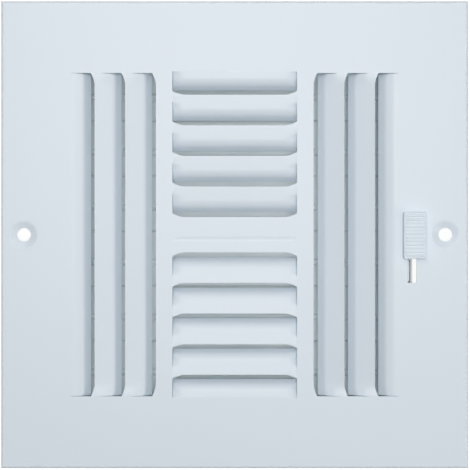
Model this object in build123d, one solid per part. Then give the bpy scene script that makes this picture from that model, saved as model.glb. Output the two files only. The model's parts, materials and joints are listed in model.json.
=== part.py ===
"""Four-way ceiling air register: a stamped steel face with curved louvres, and behind it
a multi-shutter damper whose blades are worked by a thumb tab in a slot of the face.

Millimetres. The origin is the middle of the plane where the rim meets the ceiling.
+Z points out of the face, into the room. X runs along the damper blades.
"""
import math
import os

from build123d import *

# Face plate
FACE_MARGIN = 23.5         # how far the face reaches past the damper frame
FACE_RISE = 6.0            # from the ceiling plane to the front of the face
FACE_SHEET = 0.7
RIM_BEND = 2.5             # outer radius of the turned-back rim

# Louvres, each a tongue lanced on three sides: a sloping shoulder, a bend and a straight lip
LOUVRE_PITCH = 12.9
LOUVRE_OPENING = 9.8       # from the hinge line to the cut edge
LOUVRE_SHOULDER = 4.0      # length of the shoulder
LOUVRE_SLOPE = 10.0        # tilt of the shoulder
LOUVRE_RADIUS = 3.3        # radius of the front of the bend
LOUVRE_ANGLE = 48.0        # tilt of the lip
LOUVRE_LIP = 2.6           # length of the lip
LANCE_GAP = 0.25           # slit at each end of a tongue
LANCE_TAPER_LONG = 3.6     # the cut edge slants over this length at each end
LANCE_TAPER_DEEP = 1.6     # and by this much
CROSS_LOUVRE_LENGTH = 52.5  # level louvres, in the middle column
LOUVRE_FIELD_GAP = 1.2     # from the frame's flange to the outermost hinge lines
SIDE_LOUVRE_END_GAP = 1.6  # from the frame's flange to the ends of the upright louvres
MIDDLE_STRIP = 14.0        # least width left between the two halves of the middle column
COLUMN_GAP = 6.0           # least width left beside the middle column

# Screw holes, in pressed dimples
SCREW_INSET = 9.6          # from the edge of the face
SCREW_HOLE_RADIUS = 2.8
DIMPLE_RADIUS = 5.6
DIMPLE_DEPTH = 1.2

# Damper frame, four folded plates behind the face
FRAME_SIZE = 150.0
FRAME_SHEET = 0.8
FRAME_FLANGE = 5.0
FRAME_END_GAP = 1.5        # from the swung blades to the inner end of the frame
FRAME_BEND = 1.2           # outer radius of the flange's bend
FLANGE_CORNER_GAP = 0.1
CORNER_TAB = 6.0
CORNER_TAB_MARGIN = 3.0    # the tab stops this far short of both ends of the wall

# Damper blades
BLADE_PITCH = 24.0
BLADE_LAP = 2.0
BLADE_SHEET = 0.6
BLADE_TOP_GAP = 3.2        # from the louvres to the swung blades
BLADE_END_GAP = 0.3        # to the tabs in the frame's corners
BLADE_ROW_GAP = 1.0        # least gap from the outermost blades to the frame
BEAD_RADIUS = 1.6
PIVOT_CLEARANCE = 0.1
PIVOT_PROUD = 1.0          # how far a trunnion stands out of the frame
JOGGLE_RUN = 0.8
JOGGLE_CLEARANCE = 0.3

# Crank ears on the blades, link bar and lever
CRANK_RADIUS = 7.2
BLADE_SWING = 80.0
EAR_HALF_WIDTH = 2.6
EAR_CHAMFER = 1.5
LINK_HALF_HEIGHT = 2.5
LINK_SHEET = 0.8
LINK_END = 3.5             # link bar past its outer crank rivets
LINK_CHAMFER = 1.5
LAYER_GAP = 0.3            # between the ears and the link bar
LEVER_WALL_GAP = 0.2       # between the lever and the frame wall
LEVER_SHEET = 0.8
LEVER_NECK_WIDTH = 7.2
LEVER_NECK_LOW = -10.6     # lower edge of the neck at rest
LEVER_SHOULDER = 1.2       # step from the neck to the tongue in the tab
LEVER_FOOT_LOW = -4.4
LEVER_FOOT_HIGH = 10.0
LEVER_CRANK_RISE = 5.0     # height of the slanted part of the lever

# Slot in the face for the lever
SLOT_WIDTH = 3.7
SLOT_SIDE_GAP = 0.3
SLOT_END_GAP = 0.4

# Rivets
RIVET_RADIUS = 1.2
RIVET_HEAD_RADIUS = 1.9
RIVET_HEAD = 0.6
RIVET_CLEARANCE = 0.05

# Thumb tab
TAB_WIDTH = 9.4
TAB_LENGTH = 19.6
TAB_HEIGHT = 3.2
TAB_GAP = 0.3              # between the tab and the face
TAB_LIP = 0.5              # how far the lever's neck stands past the tab's lower end
TAB_INSET = 4.2            # how far the tab reaches inwards over the frame wall
TAB_ROUND = 0.8
TAB_CHAMFER = 0.4
TAB_SOCKET_DEPTH = 2.0
TAB_SOCKET_GAP = 0.05
RIDGE_COUNT = 12
RIDGE_PITCH = 1.5
RIDGE_HEIGHT = 0.45
RIDGE_FOOT = 1.1
RIDGE_CREST = 0.4
RIDGE_MARGIN = 1.2         # smooth border beside the ridges

# Worked out from the sizes above
FACE_BACK = FACE_RISE - FACE_SHEET
FRAME_HALF = FRAME_SIZE / 2
WALL_INNER = FRAME_HALF - FRAME_SHEET
FACE_SIZE = FRAME_SIZE + 2 * FACE_MARGIN
FLANGE_TIP = FRAME_HALF - FRAME_FLANGE
OUTER_HINGE = FLANGE_TIP - LOUVRE_FIELD_GAP
SIDE_LOUVRE_LENGTH = 2 * (FLANGE_TIP - SIDE_LOUVRE_END_GAP)
SCREW_SPACING = FACE_SIZE - 2 * SCREW_INSET
SLOPE = math.radians(LOUVRE_SLOPE)
LIP_TILT = math.radians(LOUVRE_ANGLE)
LOUVRE_REACH = (
    LOUVRE_SHOULDER * math.cos(SLOPE)
    + LOUVRE_RADIUS * (math.sin(LIP_TILT) - math.sin(SLOPE))
    + LOUVRE_LIP * math.cos(LIP_TILT)
)
LOUVRE_DEPTH = (
    LOUVRE_SHOULDER * math.sin(SLOPE)
    + LOUVRE_RADIUS * (math.cos(SLOPE) - math.cos(LIP_TILT))
    + LOUVRE_LIP * math.sin(LIP_TILT)
)
BLADE_HALF = (BLADE_PITCH + BLADE_LAP) / 2
BLADE_AXIS = FACE_BACK - LOUVRE_DEPTH - BLADE_TOP_GAP - BLADE_HALF
FRAME_END = BLADE_AXIS - BLADE_HALF - FRAME_END_GAP
BLADE_COUNT = math.floor((2 * (WALL_INNER - BLADE_ROW_GAP) - BLADE_LAP) / BLADE_PITCH)
BLADE_PLACES = [BLADE_PITCH * ((BLADE_COUNT - 1) / 2 - i) for i in range(BLADE_COUNT)]
CORNER_RIVET_PLACE = WALL_INNER - CORNER_TAB / 2
CORNER_RIVET_LEVEL = (FACE_BACK + FRAME_END) / 2
LEVER_OUTER = WALL_INNER - LEVER_WALL_GAP
LINK_OUTER = LEVER_OUTER - LEVER_SHEET
LINK_INNER = LINK_OUTER - LINK_SHEET
EAR_OUTER = LINK_INNER - LAYER_GAP
EAR_INNER = EAR_OUTER - BLADE_SHEET
CRANK_SIDE = CRANK_RADIUS * math.sin(math.radians(BLADE_SWING / 2))
CRANK_UP = CRANK_RADIUS * math.cos(math.radians(BLADE_SWING / 2))
CRANK_LEVEL = BLADE_AXIS + CRANK_UP
LEVER_TRAVEL = 2 * CRANK_SIDE
CRANK_PLACES = [y + CRANK_SIDE for y in BLADE_PLACES]
NECK_HIGH = LEVER_NECK_LOW + LEVER_NECK_WIDTH
SLOT_INNER = LINK_OUTER - SLOT_SIDE_GAP
SLOT_LOW = LEVER_NECK_LOW - LEVER_TRAVEL - SLOT_END_GAP
SLOT_HIGH = NECK_HIGH + SLOT_END_GAP
TAB_FLOOR = FACE_RISE + TAB_GAP
TAB_LEFT = FRAME_HALF - TAB_INSET
TAB_LOW = LEVER_NECK_LOW + TAB_LIP
FUSE = 0.3                 # how far joined forms run into each other


def block(x0, x1, y0, y1, z0, z1):
    """A box between two corners."""
    return Pos((x0 + x1) / 2, (y0 + y1) / 2, (z0 + z1) / 2) * Box(x1 - x0, y1 - y0, z1 - z0)


def rod_along_x(radius, x0, x1, y, z):
    """A round bar along X."""
    return Pos((x0 + x1) / 2, y, z) * Rot(0, 90, 0) * Cylinder(radius, x1 - x0)


def rivet_along_x(flush_end, head_end, y, z):
    """A rivet, flush at one end of its shank and headed past the other."""
    away = math.copysign(RIVET_HEAD, head_end - flush_end)
    shank = rod_along_x(RIVET_RADIUS, *sorted((flush_end, head_end + away / 2)), y, z)
    return shank + rod_along_x(RIVET_HEAD_RADIUS, *sorted((head_end, head_end + away)), y, z)


def pressed_pan():
    """The bare face plate with its turned-back rim."""
    outer = block(-FACE_SIZE / 2, FACE_SIZE / 2, -FACE_SIZE / 2, FACE_SIZE / 2, 0, FACE_RISE)
    outer = fillet(outer.faces().sort_by(Axis.Z)[-1].edges(), RIM_BEND)
    half = FACE_SIZE / 2 - FACE_SHEET
    inner = block(-half, half, -half, half, 0, FACE_BACK)
    inner = fillet(inner.faces().sort_by(Axis.Z)[-1].edges(), RIM_BEND - FACE_SHEET)
    return outer - inner


def lance_outline(length, reach):
    """Plan of a lanced tongue: hinge line on X at y = 0, cut edge at y = -reach."""
    half = length / 2
    points = [
        (-half, 0),
        (half, 0),
        (half, LANCE_TAPER_DEEP - reach),
        (half - LANCE_TAPER_LONG, -reach),
        (LANCE_TAPER_LONG - half, -reach),
        (-half, LANCE_TAPER_DEEP - reach),
    ]
    return make_face(Polyline(*points, close=True))


def louvre_opening(length):
    """What a louvre cuts out of the face."""
    return Pos(0, 0, FACE_BACK) * extrude(lance_outline(length, LOUVRE_OPENING), FACE_SHEET)


def louvre_section():
    """Section of a louvre's tongue as (y, z), hinged at y = 0, with its root in the face."""

    def along(point, distance, tilt):
        return (point[0] - distance * math.cos(tilt), point[1] - distance * math.sin(tilt))

    def below(point, distance, tilt):
        return (point[0] + distance * math.sin(tilt), point[1] - distance * math.cos(tilt))

    hinge = (0, FACE_RISE)
    bend_start = along(hinge, LOUVRE_SHOULDER, SLOPE)
    centre = below(bend_start, LOUVRE_RADIUS, SLOPE)
    tilts = (SLOPE, (SLOPE + LIP_TILT) / 2, LIP_TILT)
    front = ThreePointArc(*[below(centre, -LOUVRE_RADIUS, tilt) for tilt in tilts])
    back = ThreePointArc(*[below(centre, FACE_SHEET - LOUVRE_RADIUS, tilt) for tilt in tilts[::-1]])
    tip = along(below(centre, -LOUVRE_RADIUS, LIP_TILT), LOUVRE_LIP, LIP_TILT)
    lip = Polyline(front @ 1, tip, below(tip, FACE_SHEET, LIP_TILT), back @ 0)
    root = Polyline(
        back @ 1, below(hinge, FACE_SHEET, SLOPE), (FUSE, FACE_BACK), (FUSE, FACE_RISE), hinge, front @ 0
    )
    return make_face(front + lip + back + root)


def louvre_tongue(length):
    """The bent tongue of a louvre, hinged on X at y = 0 and reaching towards -Y."""
    length -= 2 * LANCE_GAP
    strip = extrude(Plane.YZ * louvre_section(), length / 2, both=True)
    low = FACE_BACK - LOUVRE_DEPTH - FUSE
    plan = Pos(0, 0, low) * extrude(lance_outline(length, LOUVRE_REACH), FACE_RISE - low)
    return strip & (plan + block(-length / 2, length / 2, -FUSE, FUSE, low, FACE_RISE))


def hinge_lines(room):
    """Distances of the hinge lines from the middle: as many louvres as the room takes."""
    count = math.floor((room - LOUVRE_OPENING) / LOUVRE_PITCH) + 1
    return [OUTER_HINGE - i * LOUVRE_PITCH for i in range(count)]


def louvre_places():
    """Where each louvre goes, as (length, location of its hinge line)."""
    places = []
    cross_room = OUTER_HINGE - MIDDLE_STRIP / 2
    side_room = OUTER_HINGE - CROSS_LOUVRE_LENGTH / 2 - COLUMN_GAP
    for hinge in hinge_lines(cross_room):
        for turn in (0, 180):
            places.append((CROSS_LOUVRE_LENGTH, Rot(0, 0, turn) * Pos(0, hinge, 0)))
    for hinge in hinge_lines(side_room):
        for turn in (90, -90):
            places.append((SIDE_LOUVRE_LENGTH, Rot(0, 0, turn) * Pos(0, hinge, 0)))
    return places


def screw_dimple():
    """A conical dimple with the screw hole at its bottom, on the Z axis."""
    points = [
        (SCREW_HOLE_RADIUS, FACE_RISE - DIMPLE_DEPTH),
        (DIMPLE_RADIUS, FACE_RISE),
        (DIMPLE_RADIUS + FUSE, FACE_RISE),
        (DIMPLE_RADIUS + FUSE, FACE_BACK),
        (DIMPLE_RADIUS, FACE_BACK),
        (SCREW_HOLE_RADIUS, FACE_BACK - DIMPLE_DEPTH),
    ]
    return revolve(Plane.XZ * make_face(Polyline(*points, close=True)), Axis.Z)


def face_plate():
    """The stamped face: rim, louvres, screw dimples and the lever's slot."""
    plate = pressed_pan()
    places = louvre_places()
    plate -= [place * louvre_opening(length) for length, place in places]
    plate += [place * louvre_tongue(length) for length, place in places]
    for x in (-SCREW_SPACING / 2, SCREW_SPACING / 2):
        plate -= Pos(x, 0, FACE_RISE) * Cylinder(DIMPLE_RADIUS, 2 * FACE_SHEET + FUSE)
        plate += Pos(x, 0, 0) * screw_dimple()
    return plate - block(
        SLOT_INNER, SLOT_INNER + SLOT_WIDTH, SLOT_LOW, SLOT_HIGH, FACE_BACK - FUSE, FACE_RISE + FUSE
    )


def folded_plate(length):
    """A frame plate along Y with its wall at +X and its flange turned in behind the face."""
    flange_low = FACE_BACK - FRAME_SHEET
    section = make_face(
        Polyline(
            (FRAME_HALF, FRAME_END), (FRAME_HALF, FACE_BACK), (FLANGE_TIP, FACE_BACK),
            (FLANGE_TIP, flange_low), (WALL_INNER, flange_low), (WALL_INNER, FRAME_END), close=True,
        )
    )
    outer = section.vertices().sort_by_distance((FRAME_HALF, FACE_BACK))[0]
    section = fillet(outer, FRAME_BEND)
    inner = section.vertices().sort_by_distance((WALL_INNER, flange_low))[0]
    section = fillet(inner, FRAME_BEND - FRAME_SHEET)
    return extrude(Plane.XZ * section, length / 2, both=True)


def corner_rivet_hole(side):
    """The hole for the corner rivet at the upper (1) or lower (-1) end of the right-hand wall."""
    return rod_along_x(
        RIVET_RADIUS + RIVET_CLEARANCE, 0, FRAME_SIZE, side * CORNER_RIVET_PLACE, CORNER_RIVET_LEVEL
    )


def frame_side():
    """The right-hand frame plate, with the blades' pivot holes, before its lever notch."""
    plate = folded_plate(FRAME_SIZE)
    flange_end = FLANGE_TIP - FLANGE_CORNER_GAP
    for side in (-1, 1):
        low, high = sorted((side * flange_end, side * (FRAME_HALF + FUSE)))
        plate -= block(
            0, WALL_INNER, low, high, FACE_BACK - FRAME_SHEET - FUSE, FACE_BACK + FUSE
        )
        plate -= corner_rivet_hole(side)
    return plate - [
        rod_along_x(BEAD_RADIUS + PIVOT_CLEARANCE, 0, FRAME_SIZE, y, BLADE_AXIS)
        for y in BLADE_PLACES
    ]


def frame_side_right():
    """The frame plate on the tab's side, its flange notched for the lever."""
    return frame_side() - block(
        0, WALL_INNER, SLOT_LOW, SLOT_HIGH, FACE_BACK - FRAME_BEND - FUSE, FACE_BACK + FUSE
    )


def frame_end_upper():
    """A frame plate between the two sides, with a riveted tab at each end."""
    plate = Rot(0, 0, 90) * folded_plate(2 * WALL_INNER)
    for side in (-1, 1):
        low, high = sorted((side * (WALL_INNER - FRAME_SHEET), side * WALL_INNER))
        plate += block(
            low, high, WALL_INNER - CORNER_TAB, WALL_INNER + FUSE,
            FRAME_END + CORNER_TAB_MARGIN, FACE_BACK - FRAME_BEND - CORNER_TAB_MARGIN,
        )
    right = corner_rivet_hole(1)
    return plate - [right, mirror(right, Plane.YZ)]


def corner_rivets():
    """The rivets that join the frame's plates at their corners, headed outside."""
    right = [
        rivet_along_x(
            WALL_INNER - FRAME_SHEET, FRAME_HALF, side * CORNER_RIVET_PLACE, CORNER_RIVET_LEVEL
        )
        for side in (-1, 1)
    ]
    return Compound(children=right + [Rot(0, 0, 180) * rivet for rivet in right])


def bead_arcs():
    """Front and back arcs of the half-round bead, from its +Y side to its -Y side."""
    half = BLADE_SHEET / 2
    back_radius = BEAD_RADIUS - BLADE_SHEET
    front_y = math.sqrt(BEAD_RADIUS**2 - half**2)
    back_y = math.sqrt(back_radius**2 - half**2)
    front = ThreePointArc((front_y, half), (0, BEAD_RADIUS), (-front_y, half))
    back = ThreePointArc((-back_y, -half), (0, back_radius), (back_y, -half))
    return front, back


def blade_section():
    """Section of a damper blade: flat, a bead on its axis and a lapped lower edge."""
    half = BLADE_SHEET / 2
    drop = BLADE_SHEET + JOGGLE_CLEARANCE
    lap_start = BLADE_HALF - BLADE_LAP - JOGGLE_CLEARANCE
    bend = lap_start - JOGGLE_RUN
    front, back = bead_arcs()
    lower = Polyline(
        front @ 1, (-bend, half), (-lap_start, half - drop), (-BLADE_HALF, half - drop),
        (-BLADE_HALF, -half - drop), (-lap_start, -half - drop), (-bend, -half), back @ 0,
    )
    upper = Polyline(back @ 1, (BLADE_HALF, -half), (BLADE_HALF, half), front @ 0)
    return make_face(front + lower + back + upper)


def trunnion_section():
    """Section of a blade's pivot: its bead, carried on past the blade's end."""
    front, back = bead_arcs()
    return make_face(front + Line(front @ 1, back @ 0) + back + Line(back @ 1, front @ 0))


def ear_section():
    """Outline of a blade's crank ear round its rivet hole, with its two top corners cut off."""
    left = CRANK_SIDE - EAR_HALF_WIDTH
    right = CRANK_SIDE + EAR_HALF_WIDTH
    top = CRANK_UP + EAR_HALF_WIDTH
    points = [
        (left, -BLADE_SHEET / 2),
        (right, -BLADE_SHEET / 2),
        (right, top - EAR_CHAMFER),
        (right - EAR_CHAMFER, top),
        (left + EAR_CHAMFER, top),
        (left, top - EAR_CHAMFER),
    ]
    return make_face(Polyline(*points, close=True))


def along_x(section, x0, x1):
    """A section drawn as (y, z), run along X."""
    return Pos(x0, 0, 0) * extrude(Plane.YZ * section, x1 - x0)


def damper_blade():
    """One blade on its own axis, closed, with its trunnions and crank ear."""
    left = BLADE_END_GAP + FRAME_SHEET - WALL_INNER
    tip = FRAME_HALF + PIVOT_PROUD
    blade = along_x(blade_section(), left, EAR_INNER)
    blade += along_x(trunnion_section(), -tip, tip)
    blade += along_x(ear_section(), EAR_INNER, EAR_OUTER)
    return blade - rod_along_x(
        RIVET_RADIUS + PIVOT_CLEARANCE, EAR_INNER - FUSE, EAR_OUTER + FUSE, CRANK_SIDE, CRANK_UP
    )


def link_bar():
    """The bar that makes the blades turn together."""
    low = CRANK_PLACES[-1] - LINK_END
    high = CRANK_PLACES[0] + LINK_END
    bar = block(
        LINK_INNER, LINK_OUTER, low, high,
        CRANK_LEVEL - LINK_HALF_HEIGHT, CRANK_LEVEL + LINK_HALF_HEIGHT,
    )
    bar = chamfer(bar.edges().filter_by(Axis.X), LINK_CHAMFER)
    return bar - [
        rod_along_x(RIVET_RADIUS + RIVET_CLEARANCE, 0, FRAME_SIZE, y, CRANK_LEVEL)
        for y in CRANK_PLACES
    ]


def crank_rivets():
    """One rivet from each blade's ear to the link bar, flush with the bar."""
    head = EAR_INNER - LAYER_GAP / 2
    return Compound(children=[rivet_along_x(LINK_OUTER, head, y, CRANK_LEVEL) for y in CRANK_PLACES])


def lever():
    """The cranked strip, welded to the link bar, up through the slot into the thumb tab."""
    foot_low = CRANK_LEVEL - LINK_HALF_HEIGHT
    foot_high = CRANK_LEVEL + LINK_HALF_HEIGHT
    neck_start = foot_high + LEVER_CRANK_RISE
    top = TAB_FLOOR + TAB_SOCKET_DEPTH
    points = [
        (LEVER_FOOT_LOW, foot_low),
        (LEVER_FOOT_HIGH, foot_low),
        (LEVER_FOOT_HIGH, foot_high),
        (NECK_HIGH, neck_start),
        (NECK_HIGH, top),
        (LEVER_NECK_LOW + LEVER_SHOULDER, top),
        (LEVER_NECK_LOW + LEVER_SHOULDER, TAB_FLOOR),
        (LEVER_NECK_LOW, TAB_FLOOR),
        (LEVER_NECK_LOW, neck_start),
        (LEVER_FOOT_LOW, foot_high),
    ]
    return along_x(make_face(Polyline(*points, close=True)), LINK_OUTER, LEVER_OUTER)


def ridge_section(y, z):
    """Section of one ridge of the tab, with its foot sunk into the pad."""
    points = [
        (y - RIDGE_FOOT / 2, z - FUSE),
        (y - RIDGE_FOOT / 2, z),
        (y - RIDGE_CREST / 2, z + RIDGE_HEIGHT),
        (y + RIDGE_CREST / 2, z + RIDGE_HEIGHT),
        (y + RIDGE_FOOT / 2, z),
        (y + RIDGE_FOOT / 2, z - FUSE),
    ]
    return make_face(Polyline(*points, close=True))


def thumb_tab():
    """The moulded tab: a rounded pad with ridges across it and a socket for the lever."""
    right = TAB_LEFT + TAB_WIDTH
    high = TAB_LOW + TAB_LENGTH
    top = TAB_FLOOR + TAB_HEIGHT
    tab = block(TAB_LEFT, right, TAB_LOW, high, TAB_FLOOR, top)
    tab = fillet(tab.edges().filter_by(Axis.Z), TAB_ROUND)
    tab = chamfer(tab.faces().sort_by(Axis.Z)[-1].edges(), TAB_CHAMFER)
    first = (TAB_LOW + high - RIDGE_PITCH * (RIDGE_COUNT - 1)) / 2
    for i in range(RIDGE_COUNT):
        section = ridge_section(first + i * RIDGE_PITCH, top)
        tab += along_x(section, TAB_LEFT + RIDGE_MARGIN, right - RIDGE_MARGIN)
    return tab - block(
        LINK_OUTER - TAB_SOCKET_GAP, LEVER_OUTER + TAB_SOCKET_GAP,
        LEVER_NECK_LOW + LEVER_SHOULDER - TAB_SOCKET_GAP, NECK_HIGH + TAB_SOCKET_GAP,
        TAB_FLOOR - FUSE, TAB_FLOOR + TAB_SOCKET_DEPTH + TAB_SOCKET_GAP,
    )


def save(shape, node):
    """Write one piece under its node's name."""
    export_step(shape, f"parts/{node}.step")


def main():
    """Build every piece and write it out."""
    os.makedirs("parts", exist_ok=True)
    save(face_plate(), "face_plate")
    save(frame_side_right(), "frame_side_right")
    save(Rot(0, 0, 180) * frame_side(), "frame_side_left")
    save(frame_end_upper(), "frame_end_upper")
    save(Rot(0, 0, 180) * frame_end_upper(), "frame_end_lower")
    save(corner_rivets(), "corner_rivets")
    blade = damper_blade()
    for number, y in enumerate(BLADE_PLACES, start=1):
        save(Pos(0, y, BLADE_AXIS) * blade, f"damper_blade_{number}")
    save(link_bar(), "link_bar")
    save(crank_rivets(), "crank_rivets")
    save(lever(), "lever")
    save(thumb_tab(), "thumb_tab")


main()
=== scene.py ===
"""Looks of the four-way ceiling register: the stamped face, the thumb tab and a lug on the lever
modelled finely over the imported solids, and enamel, damper paint, zinc and plastic on everything.

Metres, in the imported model's own frame: +Z out of the face, X along the damper blades.
"""
import json
import math

import bmesh
import bpy
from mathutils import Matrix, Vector


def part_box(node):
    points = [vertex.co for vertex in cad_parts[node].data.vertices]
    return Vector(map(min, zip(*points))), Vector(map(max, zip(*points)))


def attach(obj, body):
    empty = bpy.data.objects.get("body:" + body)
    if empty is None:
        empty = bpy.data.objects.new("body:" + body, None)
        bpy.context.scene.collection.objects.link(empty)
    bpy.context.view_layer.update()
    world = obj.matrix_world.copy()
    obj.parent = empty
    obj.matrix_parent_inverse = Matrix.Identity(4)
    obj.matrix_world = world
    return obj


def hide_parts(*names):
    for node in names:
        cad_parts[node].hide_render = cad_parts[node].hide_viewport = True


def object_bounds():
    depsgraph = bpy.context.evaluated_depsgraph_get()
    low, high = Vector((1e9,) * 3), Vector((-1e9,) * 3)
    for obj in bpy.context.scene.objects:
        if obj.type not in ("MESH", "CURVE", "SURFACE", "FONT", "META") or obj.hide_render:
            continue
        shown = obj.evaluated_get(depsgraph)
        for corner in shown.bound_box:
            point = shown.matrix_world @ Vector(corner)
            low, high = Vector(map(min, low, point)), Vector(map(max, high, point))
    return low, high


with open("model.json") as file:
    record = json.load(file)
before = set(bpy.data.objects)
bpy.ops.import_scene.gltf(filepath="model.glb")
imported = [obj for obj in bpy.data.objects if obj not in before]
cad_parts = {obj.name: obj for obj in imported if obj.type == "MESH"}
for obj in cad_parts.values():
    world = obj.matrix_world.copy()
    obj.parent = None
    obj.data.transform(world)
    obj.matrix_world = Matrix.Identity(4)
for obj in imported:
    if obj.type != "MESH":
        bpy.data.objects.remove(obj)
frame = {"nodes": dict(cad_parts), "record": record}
cad_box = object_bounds()

MM = 0.001
X, Y = 0, 1                 # places of the axes in a vector
CLOSE = 0.01 * MM           # two places nearer than this are the same place
FACE_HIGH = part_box("face_plate")[1]
TAB_LOW, TAB_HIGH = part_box("thumb_tab")
LEVER_LOW, LEVER_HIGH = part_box("lever")
FACE_HALF = FACE_HIGH.x
FRONT = FACE_HIGH.z

# Face sheet
SHEET = 0.7 * MM
RIM_BEND = 1.1 * MM
RIM_STEPS = 8
FACE_WELD = 0.005 * MM      # the tongues join the sheet where their vertices are this near

# Rounding of edges
EDGE_ROUND = 0.12 * MM
FINE_ROUND = 0.08 * MM      # on the tab and the lug
EDGE_STEPS = 2
ROUND_STEPS = 4
ROUNDED_ANGLE = math.radians(50)
SMOOTH_ANGLE = math.radians(35)

# Louvres. A section goes from the hinge line down a sloping shoulder and round a bend to a lip
PITCH = 12.9 * MM
OPENING = 9.8 * MM
STRIP_WIDTH = PITCH - OPENING
CREASE_RADIUS = 8.0 * MM
CREASE_ROWS = 4
BEND_ROWS = 10
CROSS_SECTION = {
    "slope": math.radians(4), "shoulder": 2.6 * MM, "radius": 5.0 * MM,
    "lip": 2.0 * MM, "tilt": math.radians(57), "droop": 1.5 * MM, "droop_from": 0,
}
LEFT_SECTION = {
    "slope": math.radians(14), "shoulder": 4.2 * MM, "radius": 2.8 * MM,
    "lip": 3.5 * MM, "tilt": math.radians(52), "droop": 0.6 * MM, "droop_from": 3.6 * MM,
}
RIGHT_SECTION = {
    "slope": math.radians(21), "shoulder": 4.3 * MM, "radius": 4.5 * MM,
    "lip": 2.9 * MM, "tilt": math.radians(46), "droop": 0.6 * MM, "droop_from": 3.6 * MM,
}
OUTER_HINGE = 68.8 * MM
CROSS_COUNT = 5
CROSS_HALF = 26.25 * MM
SIDE_COUNT = 3
SIDE_HALF = 68.1 * MM
COLUMN_EDGE = 30.0 * MM
END_SLIT = 0.14 * MM
END_COLUMNS = [0, 0.5 * MM, 1.1 * MM, 1.8 * MM, 2.6 * MM, 3.5 * MM, 4.6 * MM, 6.0 * MM, 7.6 * MM]
TAPER_LONG = 4.4 * MM
TAPER_DEEP = 1.6 * MM
TAPER_CURVE = 1.3
DROOP_LONG = 4.6 * MM
DROOP_REACH = 2.8 * MM

# Screw holes and their dimples, as (radius, depth below the face)
SCREW_AT = 88.9 * MM
SCREW_CELL = 6.8 * MM
DIMPLE_RINGS = [
    (6.4 * MM, 0), (5.9 * MM, 0), (5.6 * MM, 0.06 * MM), (5.1 * MM, 0.22 * MM),
    (4.4 * MM, 0.52 * MM), (3.7 * MM, 0.86 * MM), (3.2 * MM, 1.1 * MM), (2.8 * MM, 1.2 * MM),
]
DIMPLE_SIDES = 48
RING_ROOM = 0.05 * MM       # the middle of a ring's edge lies inside its circle by less

# Lever slot
SLOT_X = (72.9 * MM, 76.6 * MM)
SLOT_Y = (-20.26 * MM, -3.0 * MM)

# Score line pressed across the middle strip; its profile in shares of half width and depth
SCORE_Y = -1.9 * MM
SCORE_HALF_WIDTH = 1.2 * MM
SCORE_HALF_LENGTH = 25.6 * MM
SCORE_DEPTH = 0.19 * MM
SCORE_PROFILE = [(-1, 0), (-0.5, 0.5), (0, 1), (0.5, 0.5), (1, 0)]

# Thumb tab
TAB_CORNER = 0.8 * MM
TAB_ROUND = 0.4 * MM
RIDGE_COUNT = 12
RIDGE_PITCH = 1.5 * MM
RIDGE_WIDTH = 1.0 * MM
RIDGE_HEIGHT = 0.35 * MM
RIDGE_MARGIN = 0.8 * MM
RIDGE_ROUND = 0.25 * MM
RIDGE_STEPS = 3
PAD_ROOM = 0.02 * MM

# Lug bent out of the lever's neck, seen in the slot below the tab
LUG_WIDTH = 1.7 * MM
LUG_OUT = 0.1 * MM          # how far it stands out past the neck
LUG_LENGTH = 9.6 * MM
LUG_SHEET = 0.8 * MM
LUG_TOP = 3.3 * MM
LUG_BITE = 0.4 * MM         # how far it goes into the neck
LUG_TAPER = 0.12 * MM
LUG_CORNER = 0.5 * MM
LUG_ROUND = 0.25 * MM
LUG_WELD = 0.002 * MM

# Finishes: two colours to cloud between, the least roughness, noise in patches to the metre,
# and a bump's depth and strength
ENAMEL_SHADE = (0.77, 0.845, 0.915, 1)
ENAMEL_LIGHT = (0.79, 0.865, 0.935, 1)
ENAMEL_ROUGHNESS = 0.28
ENAMEL_GLOSS = 0.62
ENAMEL_CLOUDS = 14
ENAMEL_RIPPLE = 120
ENAMEL_PEEL = 900
ENAMEL_BUMP = (0.02 * MM, 0.35)

DAMPER_SHADE = (0.84, 0.87, 0.86, 1)
DAMPER_LIGHT = (0.90, 0.93, 0.92, 1)
DAMPER_ROUGHNESS = 0.42
DAMPER_DUST = 45
DAMPER_STREAKS = 60
STREAK_STRETCH = (1, 30, 30)
DAMPER_PEEL = 700
DAMPER_BUMP = (0.02 * MM, 0.4)

ZINC_SHADE = (0.64, 0.67, 0.68, 1)
ZINC_LIGHT = (0.80, 0.83, 0.84, 1)
ZINC_ROUGHNESS = 0.32
ZINC_METAL = 0.2
ZINC_GRAIN = 420.0
ZINC_BRUSH = 300
BRUSH_STRETCH = (1, 14, 14)
ZINC_BUMP = (0.01 * MM, 0.4)

PLASTIC_SHADE = (0.79, 0.87, 0.94, 1)
PLASTIC_LIGHT = (0.82, 0.90, 0.96, 1)
PLASTIC_ROUGHNESS = 0.42
PLASTIC_CLOUDS = 60
PLASTIC_SPARK = 1600
PLASTIC_BUMP = (0.02 * MM, 0.4)

MIX_FIRST, MIX_SECOND, MIX_RESULT = 6, 7, 2     # a Mix node's colour sockets, which share names

# Camera straight above the face, and the white studio
CAMERA_HEIGHT = 0.55
CAMERA_OFFSET = (0.13 * MM, -0.13 * MM)
SENSOR = 36.0
FRAME_WIDTH = 198.35 * MM
OUTLINE_LEVEL = FRONT - RIM_BEND
FLOOR_SIZE = 6.0
FLOOR_COLOUR = (0.4, 0.4, 0.4, 1)
FLOOR_ROUGHNESS = 0.9
FLOOR_GLOW = 0.85
LIGHT_BOUNCES = 16          # the pale box behind the louvres passes light on many times
WORLD_COLOUR = (1, 1, 1, 1)
WORLD_LEVEL = 0.165
# Name, width, power, place, and whether glossy paint mirrors it
LAMPS = [
    ("key", 0.3, 1.0, (0.75, -0.3, 0.6), True),
    ("spot", 0.12, 1.65, (0.03, -0.02, 0.95), False),
    ("softbox", 0.6, 3.4, (0, 0.18, 0.95), True),
    ("upper", 0.3, 0.35, (-0.14, 0.46, 0.45), True),
]


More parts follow.
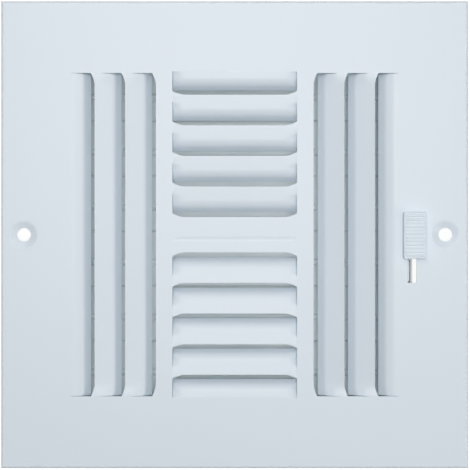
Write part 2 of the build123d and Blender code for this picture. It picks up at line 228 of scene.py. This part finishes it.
def near(a, b, room=CLOSE):
    return abs(a - b) < room


def everywhere(p):
    return True


def select_only(*pieces):
    """Select these pieces alone; the last one is active."""
    bpy.ops.object.select_all(action="DESELECT")
    for piece in pieces:
        piece.select_set(True)
    bpy.context.view_layer.objects.active = pieces[-1]


def begin(add, **settings):
    """Add a primitive by itself and go into edit mode on it."""
    bpy.ops.object.select_all(action="DESELECT")
    add(**settings)
    bpy.ops.object.transform_apply(location=True, rotation=True, scale=True)
    bpy.ops.object.mode_set(mode="EDIT")
    return bpy.context.object


def begin_block(size, middle):
    """Begin a block of that size round its middle."""
    block = begin(bpy.ops.mesh.primitive_cube_add, size=1, location=(0, 0, 0))
    pick("VERT", everywhere)
    bpy.ops.transform.resize(value=size)
    bpy.ops.transform.translate(value=middle)
    return block


def pick(kind, test):
    """Select the edit mesh's vertices, edges or faces whose middle passes the test."""
    mesh = bmesh.from_edit_mesh(bpy.context.object.data)
    bpy.ops.mesh.select_mode(type=kind)
    bpy.ops.mesh.select_all(action="DESELECT")
    if kind == "VERT":
        chosen = [v for v in mesh.verts if test(v.co)]
    elif kind == "EDGE":
        chosen = [e for e in mesh.edges if test((e.verts[0].co + e.verts[1].co) / 2)]
    else:
        chosen = [f for f in mesh.faces if test(f.calc_center_median())]
    for item in chosen:
        item.select_set(True)
    mesh.select_flush_mode()
    bmesh.update_edit_mesh(bpy.context.object.data)
    return len(chosen)


def cut_lines(axis, places, test):
    """Cut the faces that pass the test along lines across one axis."""
    normal = Vector((0, 0, 0))
    normal[axis] = 1
    for place in places:
        if pick("FACE", test):
            bpy.ops.mesh.bisect(plane_co=normal * place, plane_no=normal)


def remove_faces(test):
    """Delete the faces that pass the test."""
    pick("FACE", test)
    bpy.ops.mesh.delete(type="FACE")


def round_edges(test, radius, steps=ROUND_STEPS):
    """Round the edges that pass the test."""
    pick("EDGE", test)
    bpy.ops.mesh.bevel(offset=radius, segments=steps, affect="EDGES")


def weld(distance):
    """Merge the edit mesh's vertices that lie that near each other."""
    bpy.ops.mesh.select_all(action="SELECT")
    bpy.ops.mesh.remove_doubles(threshold=distance)


def finish_mesh(piece, name, edge_round=EDGE_ROUND):
    """Round the sharp edges, weight the normals and name the piece."""
    bpy.ops.object.mode_set(mode="OBJECT")
    bevel = piece.modifiers.new("edges", "BEVEL")
    bevel.width = edge_round
    bevel.segments = EDGE_STEPS
    bevel.limit_method = "ANGLE"
    bevel.angle_limit = ROUNDED_ANGLE
    bpy.ops.object.modifier_apply(modifier="edges")
    bpy.ops.object.shade_smooth_by_angle(angle=SMOOTH_ANGLE)
    weighted = piece.modifiers.new("normals", "WEIGHTED_NORMAL")
    weighted.keep_sharp = True
    bpy.ops.object.modifier_apply(modifier="normals")
    piece.name = name
    piece.data.name = name
    return piece


def hinge_lines(count):
    """Distances of a block's hinge lines from the middle."""
    return [OUTER_HINGE - i * PITCH for i in range(count)]


def column_places(half):
    """Where a louvre of that half length has its columns of vertices, both ends alike."""
    ends = [half - END_SLIT - d for d in END_COLUMNS]
    return sorted(ends + [-e for e in ends])


def opening_places(half):
    """A louvre's columns, and the two ends of its opening."""
    return column_places(half) + [-half, half]


def tongue_rows(section, first):
    """Reach and drop of a tongue's rows of vertices, from its hinge line on.

    The first tongue of a block bends out of the flat face, the others go on from a tilted strip.
    """
    rows = [(0, 0)]
    slope = section["slope"]
    shoulder = section["shoulder"]
    tilt = section["tilt"]

    def turn(radius, start, end, count):
        reach, drop = rows[-1]
        for row in range(1, count + 1):
            angle = start + (end - start) * row / count
            rows.append((
                reach + radius * (math.sin(angle) - math.sin(start)),
                drop + radius * (math.cos(start) - math.cos(angle)),
            ))

    def run(length, angle):
        reach, drop = rows[-1]
        rows.append((reach + length * math.cos(angle), drop + length * math.sin(angle)))

    if first:
        turn(CREASE_RADIUS, 0, slope, CREASE_ROWS)
        run(shoulder - rows[-1][0], slope)
    else:
        run(shoulder / 2, slope)
        run(shoulder / 2, slope)
    turn(section["radius"], slope, tilt, BEND_ROWS)
    run(section["lip"] / 2, tilt)
    run(section["lip"] / 2, tilt)
    return rows


def droop_ends(span, section, rows):
    """Let a tongue's ends droop, most at its corners."""
    for distance in END_COLUMNS[:-1]:
        share = max(0, 1 - distance / DROOP_LONG)
        for reach, _ in rows[1:]:
            past = min(1, max(0, (reach - section["droop_from"]) / DROOP_REACH))
            droop = section["droop"] * share**2 * math.sin(past * math.pi / 2)
            pick("VERT", lambda p: near(abs(p.x), span - distance) and near(p.y, -reach))
            bpy.ops.transform.translate(value=(0, 0, -droop))


def taper_ends(half, reach):
    """Cut a tongue's two corners off on a slant."""
    for side in (-1, 1):
        pick("FACE", everywhere)
        corner = (side * (half - TAPER_LONG), -reach, FRONT)
        slant = Vector((side * TAPER_DEEP * reach / OPENING, -TAPER_LONG, 0))
        bpy.ops.mesh.bisect(plane_co=corner, plane_no=slant, clear_outer=True)


def twist(distance):
    """How much of a strip's tilt it has at a distance from the end of its louvre, 0 to 1."""
    share = min(1, distance / END_COLUMNS[-2])
    return share * share * (3 - 2 * share)


def drop_columns(half, section, test, along):
    """Lower the columns of vertices that pass the test as far as a tilted strip goes down there."""
    strip_drop = STRIP_WIDTH * math.tan(section["slope"])
    span = half - END_SLIT
    inner = span - END_COLUMNS[-1]
    pick("VERT", lambda p: test(p) and abs(p[along]) < inner + CLOSE)
    bpy.ops.transform.translate(value=(0, 0, -strip_drop))
    for outer_end, inner_end in zip(END_COLUMNS, END_COLUMNS[1:]):
        low = span - inner_end + CLOSE
        high = span - outer_end + CLOSE
        pick("VERT", lambda p: test(p) and low < abs(p[along]) < high)
        bpy.ops.transform.translate(value=(0, 0, -strip_drop * twist(outer_end)))


def bent_tongue(half, section, first):
    """One louvre tongue along X, its hinge line on the middle of the face, reaching towards -Y.

    It is drawn out row by row from the near edge of a narrow plane, which is then deleted.
    """
    span = half - END_SLIT
    tongue = begin(bpy.ops.mesh.primitive_plane_add, size=2, location=(0, 1, FRONT))
    pick("VERT", everywhere)
    bpy.ops.transform.resize(value=(span, MM, 1), center_override=(0, 0, FRONT))
    cut_lines(X, column_places(half)[1:-1], everywhere)
    pick("EDGE", lambda p: near(p.y, 0))
    rows = tongue_rows(section, first)
    for (reach, drop), (next_reach, next_drop) in zip(rows, rows[1:]):
        step = (0, reach - next_reach, drop - next_drop)
        bpy.ops.mesh.extrude_region_move(TRANSFORM_OT_translate={"value": step})
    remove_faces(lambda p: p.y > 0)
    droop_ends(span, section, rows)
    taper_ends(half, rows[-1][0])
    if not first:
        drop_columns(half, section, everywhere, X)
    bpy.ops.object.mode_set(mode="OBJECT")
    return tongue


def place_tongues(half, section, count, turns):
    """Tongues at every hinge line of a block, turned to each side that has such a block."""
    placed = []
    for first, hinges in ((True, hinge_lines(count)[:1]), (False, hinge_lines(count)[1:])):
        model = bent_tongue(half, section, first)
        for hinge in hinges:
            for turn in turns:
                select_only(model)
                bpy.ops.object.duplicate(linked=False)
                copy = bpy.context.object
                copy.rotation_euler.z = turn
                copy.location = (-math.sin(turn) * hinge, math.cos(turn) * hinge, 0)
                bpy.ops.object.transform_apply(location=True, rotation=True, scale=True)
                placed.append(copy)
        bpy.data.objects.remove(model)
    return placed


def in_column(p):
    return abs(p.x) < COLUMN_EDGE


def beside_column(p):
    return abs(p.x) > COLUMN_EDGE


def draw_openings():
    """Cut the flat sheet along the edges of all openings and the columns of their louvres."""
    cut_lines(X, (-COLUMN_EDGE, COLUMN_EDGE), everywhere)
    for hinge in hinge_lines(CROSS_COUNT):
        for place in (hinge, hinge - OPENING):
            cut_lines(Y, (-place, place), in_column)
    cut_lines(X, opening_places(CROSS_HALF), in_column)
    for hinge in hinge_lines(SIDE_COUNT):
        for place in (hinge, hinge - OPENING):
            cut_lines(X, (-place, place), beside_column)
    inner_cut = hinge_lines(SIDE_COUNT)[-1] - OPENING
    cut_lines(Y, opening_places(SIDE_HALF), lambda p: inner_cut < abs(p.x) < OUTER_HINGE)


def cut_opening(half, hinge, across):
    """Delete one louvre's opening from the sheet and slant the ends of its cut edge.

    across is the axis that the louvre lies across; hinge may be negative.
    """
    along = Y if across == X else X
    side = math.copysign(1, hinge)
    cut = hinge - side * OPENING
    low, high = sorted((hinge, cut))
    remove_faces(lambda p: abs(p[along]) < half and low < p[across] < high)
    for place in opening_places(half):
        share = (abs(place) - (half - TAPER_LONG)) / TAPER_LONG
        if share > 0:
            pick("VERT", lambda p: near(p[along], place) and near(p[across], cut))
            shift = Vector((0, 0, 0))
            shift[across] = side * TAPER_DEEP * share**TAPER_CURVE
            bpy.ops.transform.translate(value=shift)


def cut_openings():
    """The openings of the level louvres in the middle and of the upright ones beside them."""
    for half, count, across in ((CROSS_HALF, CROSS_COUNT, Y), (SIDE_HALF, SIDE_COUNT, X)):
        for hinge in hinge_lines(count):
            cut_opening(half, hinge, across)
            cut_opening(half, -hinge, across)


def tilt_strips():
    """Lower the hinge lines inside the blocks, which tilts the strips between the louvres."""

    def on_inner_hinge(place, count):
        return any(near(abs(place), hinge) for hinge in hinge_lines(count)[1:])

    def on_cross_hinge(p):
        return abs(p.x) < CROSS_HALF and on_inner_hinge(p.y, CROSS_COUNT)

    def on_side_hinge(p):
        return beside_column(p) and abs(p.y) < SIDE_HALF and on_inner_hinge(p.x, SIDE_COUNT)

    drop_columns(CROSS_HALF, CROSS_SECTION, on_cross_hinge, X)
    drop_columns(SIDE_HALF, LEFT_SECTION, lambda p: p.x < 0 and on_side_hinge(p), Y)
    drop_columns(SIDE_HALF, RIGHT_SECTION, lambda p: p.x > 0 and on_side_hinge(p), Y)


def press_dimple(x):
    """Cut a cell out of the sheet round a screw hole and set a dimple into it."""
    remove_faces(lambda p: abs(p.x - x) < SCREW_CELL and abs(p.y) < SCREW_CELL)
    bpy.ops.mesh.select_mode(type="EDGE")
    bpy.ops.mesh.select_all(action="DESELECT")
    first = DIMPLE_RINGS[0][0]
    bpy.ops.mesh.primitive_circle_add(vertices=DIMPLE_SIDES, radius=first, location=(x, 0, FRONT))
    for (before, above), (after, below) in zip(DIMPLE_RINGS, DIMPLE_RINGS[1:]):
        bpy.ops.mesh.extrude_region_move(TRANSFORM_OT_translate={"value": (0, 0, above - below)})
        bpy.ops.transform.resize(value=(after / before,) * 2 + (1,), center_override=(x, 0, FRONT))

    def border(p):
        box = max(abs(p.x - x), abs(p.y))
        ring = math.hypot(p.x - x, p.y)
        return near(p.z, FRONT) and (near(box, SCREW_CELL) or near(ring, first, RING_ROOM))

    pick("EDGE", border)
    bpy.ops.mesh.bridge_edge_loops()


def press_dimples():
    """The two screw holes, each in a dimple."""
    sides = [s * SCREW_AT + e * SCREW_CELL for s in (-1, 1) for e in (-1, 1)]
    cut_lines(X, sides, lambda p: abs(p.x) > OUTER_HINGE)
    cut_lines(Y, (-SCREW_CELL, SCREW_CELL), lambda p: abs(abs(p.x) - SCREW_AT) < SCREW_CELL)
    press_dimple(-SCREW_AT)
    press_dimple(SCREW_AT)


def cut_slot():
    """The slot that the lever comes out of."""
    left, right = SLOT_X
    low, high = SLOT_Y
    cut_lines(X, SLOT_X, lambda p: OUTER_HINGE < p.x < SCREW_AT - SCREW_CELL)
    cut_lines(Y, SLOT_Y, lambda p: left < p.x < right)
    remove_faces(lambda p: left < p.x < right and low < p.y < high)


def press_score_line():
    """The shallow groove across the middle strip."""
    strip_edge = hinge_lines(CROSS_COUNT)[-1] - OPENING
    lines = [SCORE_Y + across * SCORE_HALF_WIDTH for across, _ in SCORE_PROFILE]
    cut_lines(Y, lines, lambda p: abs(p.x) < CROSS_HALF and abs(p.y) < strip_edge)
    for line, (_, share) in zip(lines, SCORE_PROFILE):
        pick("VERT", lambda p: near(p.y, line) and abs(p.x) < SCORE_HALF_LENGTH)
        bpy.ops.transform.translate(value=(0, 0, -SCORE_DEPTH * share))


def turn_rim():
    """Fold the sheet's border back and round the bend."""

    def on_border(p):
        return near(max(abs(p.x), abs(p.y)), FACE_HALF)

    pick("EDGE", on_border)
    bpy.ops.mesh.extrude_region_move(TRANSFORM_OT_translate={"value": (0, 0, -FRONT)})
    round_edges(lambda p: on_border(p) and near(p.z, FRONT), RIM_BEND, RIM_STEPS)


def stamped_face():
    """The face plate: one sheet with its openings, curled tongues, dimples, slot and rim."""
    tongues = place_tongues(CROSS_HALF, CROSS_SECTION, CROSS_COUNT, (0, math.pi))
    tongues += place_tongues(SIDE_HALF, LEFT_SECTION, SIDE_COUNT, (math.pi / 2,))
    tongues += place_tongues(SIDE_HALF, RIGHT_SECTION, SIDE_COUNT, (-math.pi / 2,))

    sheet = begin(bpy.ops.mesh.primitive_plane_add, size=2 * FACE_HALF, location=(0, 0, FRONT))
    draw_openings()
    cut_openings()
    tilt_strips()
    press_dimples()
    cut_slot()
    press_score_line()
    turn_rim()
    bpy.ops.object.mode_set(mode="OBJECT")

    select_only(*tongues, sheet)
    bpy.ops.object.join()
    bpy.ops.object.mode_set(mode="EDIT")
    weld(FACE_WELD)
    bpy.ops.mesh.normals_make_consistent(inside=False)
    bpy.ops.object.mode_set(mode="OBJECT")
    if sum(p.area for p in sheet.data.polygons if p.normal.z > 0) < FACE_HALF**2:
        sheet.data.flip_normals()       # under a quarter of the face looked out
    wall = sheet.modifiers.new("sheet", "SOLIDIFY")
    wall.thickness = SHEET
    wall.offset = -1
    wall.use_even_offset = True
    bpy.ops.object.modifier_apply(modifier="sheet")
    return finish_mesh(sheet, "stamped_face")


def ridged_tab():
    """The thumb tab: a moulded pad with a row of ridges inside a smooth border."""
    size = TAB_HIGH - TAB_LOW
    middle = (TAB_LOW + TAB_HIGH) / 2
    top = TAB_HIGH.z - RIDGE_HEIGHT
    half_way_up = (top + TAB_LOW.z) / 2
    tab = begin_block((size.x, size.y, top - TAB_LOW.z), (middle.x, middle.y, half_way_up))
    round_edges(lambda p: near(p.z, half_way_up), TAB_CORNER)
    round_edges(lambda p: near(p.z, top), TAB_ROUND)
    pick("FACE", lambda p: near(p.z, top) and near(p.x, middle.x, MM) and near(p.y, middle.y, MM))
    bpy.ops.mesh.inset(thickness=RIDGE_MARGIN - TAB_ROUND)

    def on_pad(p):
        inner = size / 2 - Vector((1, 1, 0)) * (RIDGE_MARGIN - PAD_ROOM)
        return near(p.z, top) and abs(p.x - middle.x) < inner.x and abs(p.y - middle.y) < inner.y

    first = middle.y - RIDGE_PITCH * (RIDGE_COUNT - 1) / 2
    places = [first + i * RIDGE_PITCH for i in range(RIDGE_COUNT)]
    edges = [place + s * RIDGE_WIDTH / 2 for place in places for s in (-1, 1)]
    cut_lines(Y, edges, on_pad)
    pick("FACE", lambda p: on_pad(p) and any(near(p.y, place, RIDGE_WIDTH / 4) for place in places))
    bpy.ops.mesh.extrude_region_move(TRANSFORM_OT_translate={"value": (0, 0, RIDGE_HEIGHT)})
    round_edges(lambda p: near(p.z, TAB_HIGH.z), RIDGE_ROUND, RIDGE_STEPS)
    return finish_mesh(tab, "ridged_tab", FINE_ROUND)


def lever_lug():
    """A small lug bent out of the lever's neck, which fills part of the slot below the tab."""
    near_end = LEVER_LOW.y + LUG_BITE
    far_end = near_end - LUG_LENGTH
    outer = LEVER_HIGH.x + LUG_OUT
    middle = (outer - LUG_WIDTH / 2, near_end - LUG_LENGTH / 2, LUG_TOP - LUG_SHEET / 2)
    lug = begin_block((LUG_WIDTH, LUG_LENGTH, LUG_SHEET), middle)
    pick("VERT", lambda p: near(p.x, outer) and near(p.y, far_end))
    bpy.ops.transform.translate(value=(-LUG_TAPER, 0, 0))
    round_edges(lambda p: near(p.z, middle[2]) and near(p.y, far_end), LUG_CORNER)
    round_edges(lambda p: near(p.z, LUG_TOP), LUG_ROUND)
    weld(LUG_WELD)
    return finish_mesh(lug, "lever_lug", FINE_ROUND)


class Value:
    """A socket that takes part in Python sums; each sum adds a Math node."""

    def __init__(self, finish, socket):
        self.finish = finish
        self.socket = socket

    def math(self, operation, other):
        return self.finish.out("ShaderNodeMath", 0, {0: self, 1: other}, operation=operation)

    def __add__(self, other):
        return self.math("ADD", other)

    def __mul__(self, other):
        return self.math("MULTIPLY", other)

    __radd__ = __add__
    __rmul__ = __mul__


class Finish:
    """The nodes of a material or of the world, with their shader at hand."""

    def __init__(self, block, shader="Principled BSDF"):
        block.use_nodes = True
        self.block = block
        self.tree = block.node_tree
        self.shader = self.tree.nodes[shader]

    def feed(self, socket, value):
        """Set a socket, or link it to a Value."""
        if isinstance(value, Value):
            self.tree.links.new(value.socket, socket)
        else:
            socket.default_value = value

    def node(self, kind, sockets=None, **settings):
        """Add a node, set its settings, then give its sockets their values or links."""
        made = self.tree.nodes.new(kind)
        for name, value in settings.items():
            setattr(made, name, value)
        for name, value in (sockets or {}).items():
            self.feed(made.inputs[name], value)
        return made

    def out(self, kind, output, sockets=None, **settings):
        """Add a node and take one of its outputs."""
        return Value(self, self.node(kind, sockets, **settings).outputs[output])

    def give(self, **sockets):
        """Set or link the shader's sockets; underscores stand for spaces."""
        for name, value in sockets.items():
            self.feed(self.shader.inputs[name.replace("_", " ")], value)

    def place(self):
        """The Object coordinates."""
        return self.out("ShaderNodeTexCoord", "Object")

    def noise(self, scale, detail=2, stretch=None):
        """Cloudy noise from 0 to 1, on Object coordinates stretched if asked."""
        place = self.place()
        if stretch:
            place = self.out("ShaderNodeMapping", "Vector", {"Vector": place, "Scale": stretch})
        sockets = {"Vector": place, "Scale": scale, "Detail": detail}
        return self.out("ShaderNodeTexNoise", "Fac", sockets)

    def mix(self, factor, first, second):
        """A colour between two colours."""
        sockets = {"Factor": factor, MIX_FIRST: first, MIX_SECOND: second}
        return self.out("ShaderNodeMix", MIX_RESULT, sockets, data_type="RGBA")

    def bump(self, height, depth, strength):
        """A normal that follows a height."""
        sockets = {"Height": height, "Distance": depth, "Strength": strength}
        return self.out("ShaderNodeBump", "Normal", sockets)

    def background_rays(self):
        """1 for a ray that looks at the background straight, in a reflection or through a piece."""
        path = self.node("ShaderNodeLightPath")
        kinds = ("Is Camera Ray", "Is Glossy Ray", "Is Transmission Ray")
        seen, glossy, through = [Value(self, path.outputs[kind]) for kind in kinds]
        return (seen + glossy + through).math("MINIMUM", 1)


def enamel():
    """Satin white enamel with a faint orange peel and slight clouding."""
    finish = Finish(bpy.data.materials.new("white_enamel"))
    cloud = finish.noise(ENAMEL_CLOUDS, detail=3)
    peel = finish.noise(ENAMEL_PEEL)
    ripple = finish.noise(ENAMEL_RIPPLE)
    finish.give(
        Base_Color=finish.mix(cloud, ENAMEL_SHADE, ENAMEL_LIGHT),
        Roughness=ENAMEL_ROUGHNESS + 0.08 * cloud + 0.04 * peel,
        Specular_IOR_Level=ENAMEL_GLOSS,
        Normal=finish.bump(0.35 * peel + ripple, *ENAMEL_BUMP),
    )
    return finish.block


def damper_paint():
    """Thinner white paint over rolled sheet, with faint rolling streaks and dust."""
    finish = Finish(bpy.data.materials.new("damper_paint"))
    streaks = finish.noise(DAMPER_STREAKS, stretch=STREAK_STRETCH)
    dust = finish.noise(DAMPER_DUST, detail=4)
    peel = finish.noise(DAMPER_PEEL)
    finish.give(
        Base_Color=finish.mix(0.6 * dust + 0.4 * streaks, DAMPER_SHADE, DAMPER_LIGHT),
        Roughness=DAMPER_ROUGHNESS + 0.14 * dust,
        Normal=finish.bump(0.4 * peel + 0.6 * streaks, *DAMPER_BUMP),
    )
    return finish.block


def zinc():
    """Zinc plate: soft grey grains of slightly different brightness, finely brushed."""
    finish = Finish(bpy.data.materials.new("zinc_plate"))
    cells = {"Vector": finish.place(), "Scale": ZINC_GRAIN}
    grain_colour = finish.out("ShaderNodeTexVoronoi", "Color", cells)
    grain = finish.out("ShaderNodeRGBToBW", "Val", {"Color": grain_colour})
    brush = finish.noise(ZINC_BRUSH, detail=3, stretch=BRUSH_STRETCH)
    finish.give(
        Base_Color=finish.mix(0.5 * grain + 0.5 * brush, ZINC_SHADE, ZINC_LIGHT),
        Metallic=ZINC_METAL,
        Roughness=ZINC_ROUGHNESS + 0.16 * grain + 0.08 * brush,
        Normal=finish.bump(brush, *ZINC_BUMP),
    )
    return finish.block


def moulded_plastic():
    """White moulded plastic with a fine spark texture."""
    finish = Finish(bpy.data.materials.new("white_plastic"))
    spark = finish.noise(PLASTIC_SPARK)
    cloud = finish.noise(PLASTIC_CLOUDS)
    finish.give(
        Base_Color=finish.mix(cloud, PLASTIC_SHADE, PLASTIC_LIGHT),
        Roughness=PLASTIC_ROUGHNESS + 0.12 * spark,
        Normal=finish.bump(spark, *PLASTIC_BUMP),
    )
    return finish.block


def paint(piece, material):
    """Give a piece one material, in place of any it came with."""
    piece.data.materials.clear()
    piece.data.materials.append(material)


def white_floor():
    """A plain floor that the camera sees as white and that keeps a soft shadow."""
    bpy.ops.object.select_all(action="DESELECT")
    bpy.ops.mesh.primitive_plane_add(size=FLOOR_SIZE, location=(0, 0, cad_box[0].z))
    bpy.ops.object.transform_apply(location=True)
    floor = bpy.context.object
    floor.name = "floor"
    finish = Finish(bpy.data.materials.new("floor"))
    finish.give(Base_Color=FLOOR_COLOUR, Roughness=FLOOR_ROUGHNESS, Specular_IOR_Level=0.0)
    strength = FLOOR_GLOW * finish.background_rays()
    glow = finish.out("ShaderNodeEmission", 0, {"Strength": strength})
    matt = Value(finish, finish.shader.outputs[0])
    total = finish.out("ShaderNodeAddShader", 0, {0: matt, 1: glow})
    finish.feed(finish.tree.nodes["Material Output"].inputs["Surface"], total)
    paint(floor, finish.block)


def studio_world():
    """Even white surroundings, pure white to the camera and in reflections."""
    world = bpy.data.worlds.new("studio")
    bpy.context.scene.world = world
    finish = Finish(world, "Background")
    rays = finish.background_rays()
    finish.give(Color=WORLD_COLOUR, Strength=WORLD_LEVEL + (1 - WORLD_LEVEL) * rays)


def put_up(name, data, location):
    """Put a lamp or the camera in its place."""
    holder = bpy.data.objects.new(name, data)
    bpy.context.scene.collection.objects.link(holder)
    holder.location = location
    return holder


def lamp(name, size, energy, location, mirrored):
    """A square soft light that faces the middle of the register."""
    data = bpy.data.lights.new(name, "AREA")
    data.size = size
    data.energy = energy
    holder = put_up(name, data, location)
    holder.rotation_mode = "QUATERNION"
    holder.rotation_quaternion = (-Vector(location)).to_track_quat("-Z", "Y")
    holder.visible_glossy = mirrored


def photo_camera():
    """A camera that looks straight at the face and frames it as the photograph does."""
    data = bpy.data.cameras.new("camera")
    data.sensor_width = SENSOR
    data.lens = SENSOR * (CAMERA_HEIGHT - OUTLINE_LEVEL) / FRAME_WIDTH
    bpy.context.scene.camera = put_up("camera", data, (*CAMERA_OFFSET, CAMERA_HEIGHT))


face_piece = stamped_face()
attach(face_piece, "housing")
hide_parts("face_plate")

tab_piece = ridged_tab()
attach(tab_piece, "link")
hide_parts("thumb_tab")

lug_piece = lever_lug()
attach(lug_piece, "link")

finishes = {
    "white_paint": enamel(), "damper_paint": damper_paint(),
    "zinc_plate": zinc(), "white_plastic": moulded_plastic(),
}
for subpart in frame["record"]["subparts"]:
    paint(frame["nodes"][subpart["node"]], finishes[subpart["material_slot"]])
paint(face_piece, finishes["white_paint"])
paint(tab_piece, finishes["white_plastic"])
paint(lug_piece, finishes["zinc_plate"])

white_floor()
studio_world()
for lamp_settings in LAMPS:
    lamp(*lamp_settings)
photo_camera()
bpy.context.scene.view_settings.view_transform = "Standard"
bpy.context.scene.cycles.diffuse_bounces = LIGHT_BOUNCES
bpy.context.scene.cycles.max_bounces = LIGHT_BOUNCES
